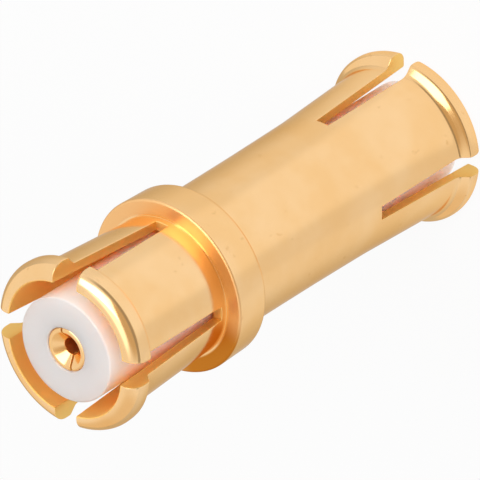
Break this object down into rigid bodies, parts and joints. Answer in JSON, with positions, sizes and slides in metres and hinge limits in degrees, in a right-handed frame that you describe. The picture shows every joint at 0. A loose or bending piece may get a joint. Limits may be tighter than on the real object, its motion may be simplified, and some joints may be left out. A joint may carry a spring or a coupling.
{
  "type": "coaxial connector",
  "caption": "Push-on coaxial barrel adapter with slotted spring-finger ends, rounded gripping lips, an off-centre square-shouldered collar, white insulators and a slit centre contact",
  "frame": {"origin": "centre of the lower finger-tip plane, on the axis", "axes": "+Z along the axis toward the end near the collar; the saw cuts lie on the X and Y planes"},
  "size_m": [0.0032, 0.0032, 0.0093],
  "materials": {
    "body_gold": "bright gold plating over turned spring metal, faint turning marks",
    "contact_gold": "bright gold plating",
    "insulator_white": "matte white fluoropolymer, cut face"
  },
  "bodies": {
    "root": {"outer_body": "body_gold", "upper_insulator": "insulator_white", "lower_insulator": "insulator_white", "centre_contact": "contact_gold"}
  },
  "joints": []
}
